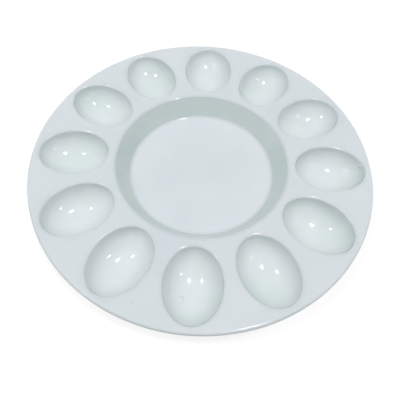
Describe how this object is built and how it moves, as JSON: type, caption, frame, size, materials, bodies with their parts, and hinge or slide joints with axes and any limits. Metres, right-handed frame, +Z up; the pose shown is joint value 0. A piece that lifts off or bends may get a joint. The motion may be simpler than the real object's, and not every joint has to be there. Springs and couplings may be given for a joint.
{
  "type": "deviled egg platter",
  "caption": "Round glazed ceramic platter with a ring of oval wells that hold halved eggs and a shallow bowl in the centre, on a low foot ring.",
  "frame": {"origin": "centre of the foot ring's face, on the table", "axes": "+Z up along the platter's axis; one egg well lies along -Y, which is the front in the picture"},
  "size_m": [0.305, 0.305, 0.026],
  "materials": {
    "fired_clay": "matte",
    "white_glaze": "gloss"
  },
  "bodies": {
    "root": {"clay_body": "fired_clay", "face_glaze": "white_glaze", "base_glaze": "white_glaze"}
  },
  "joints": []
}
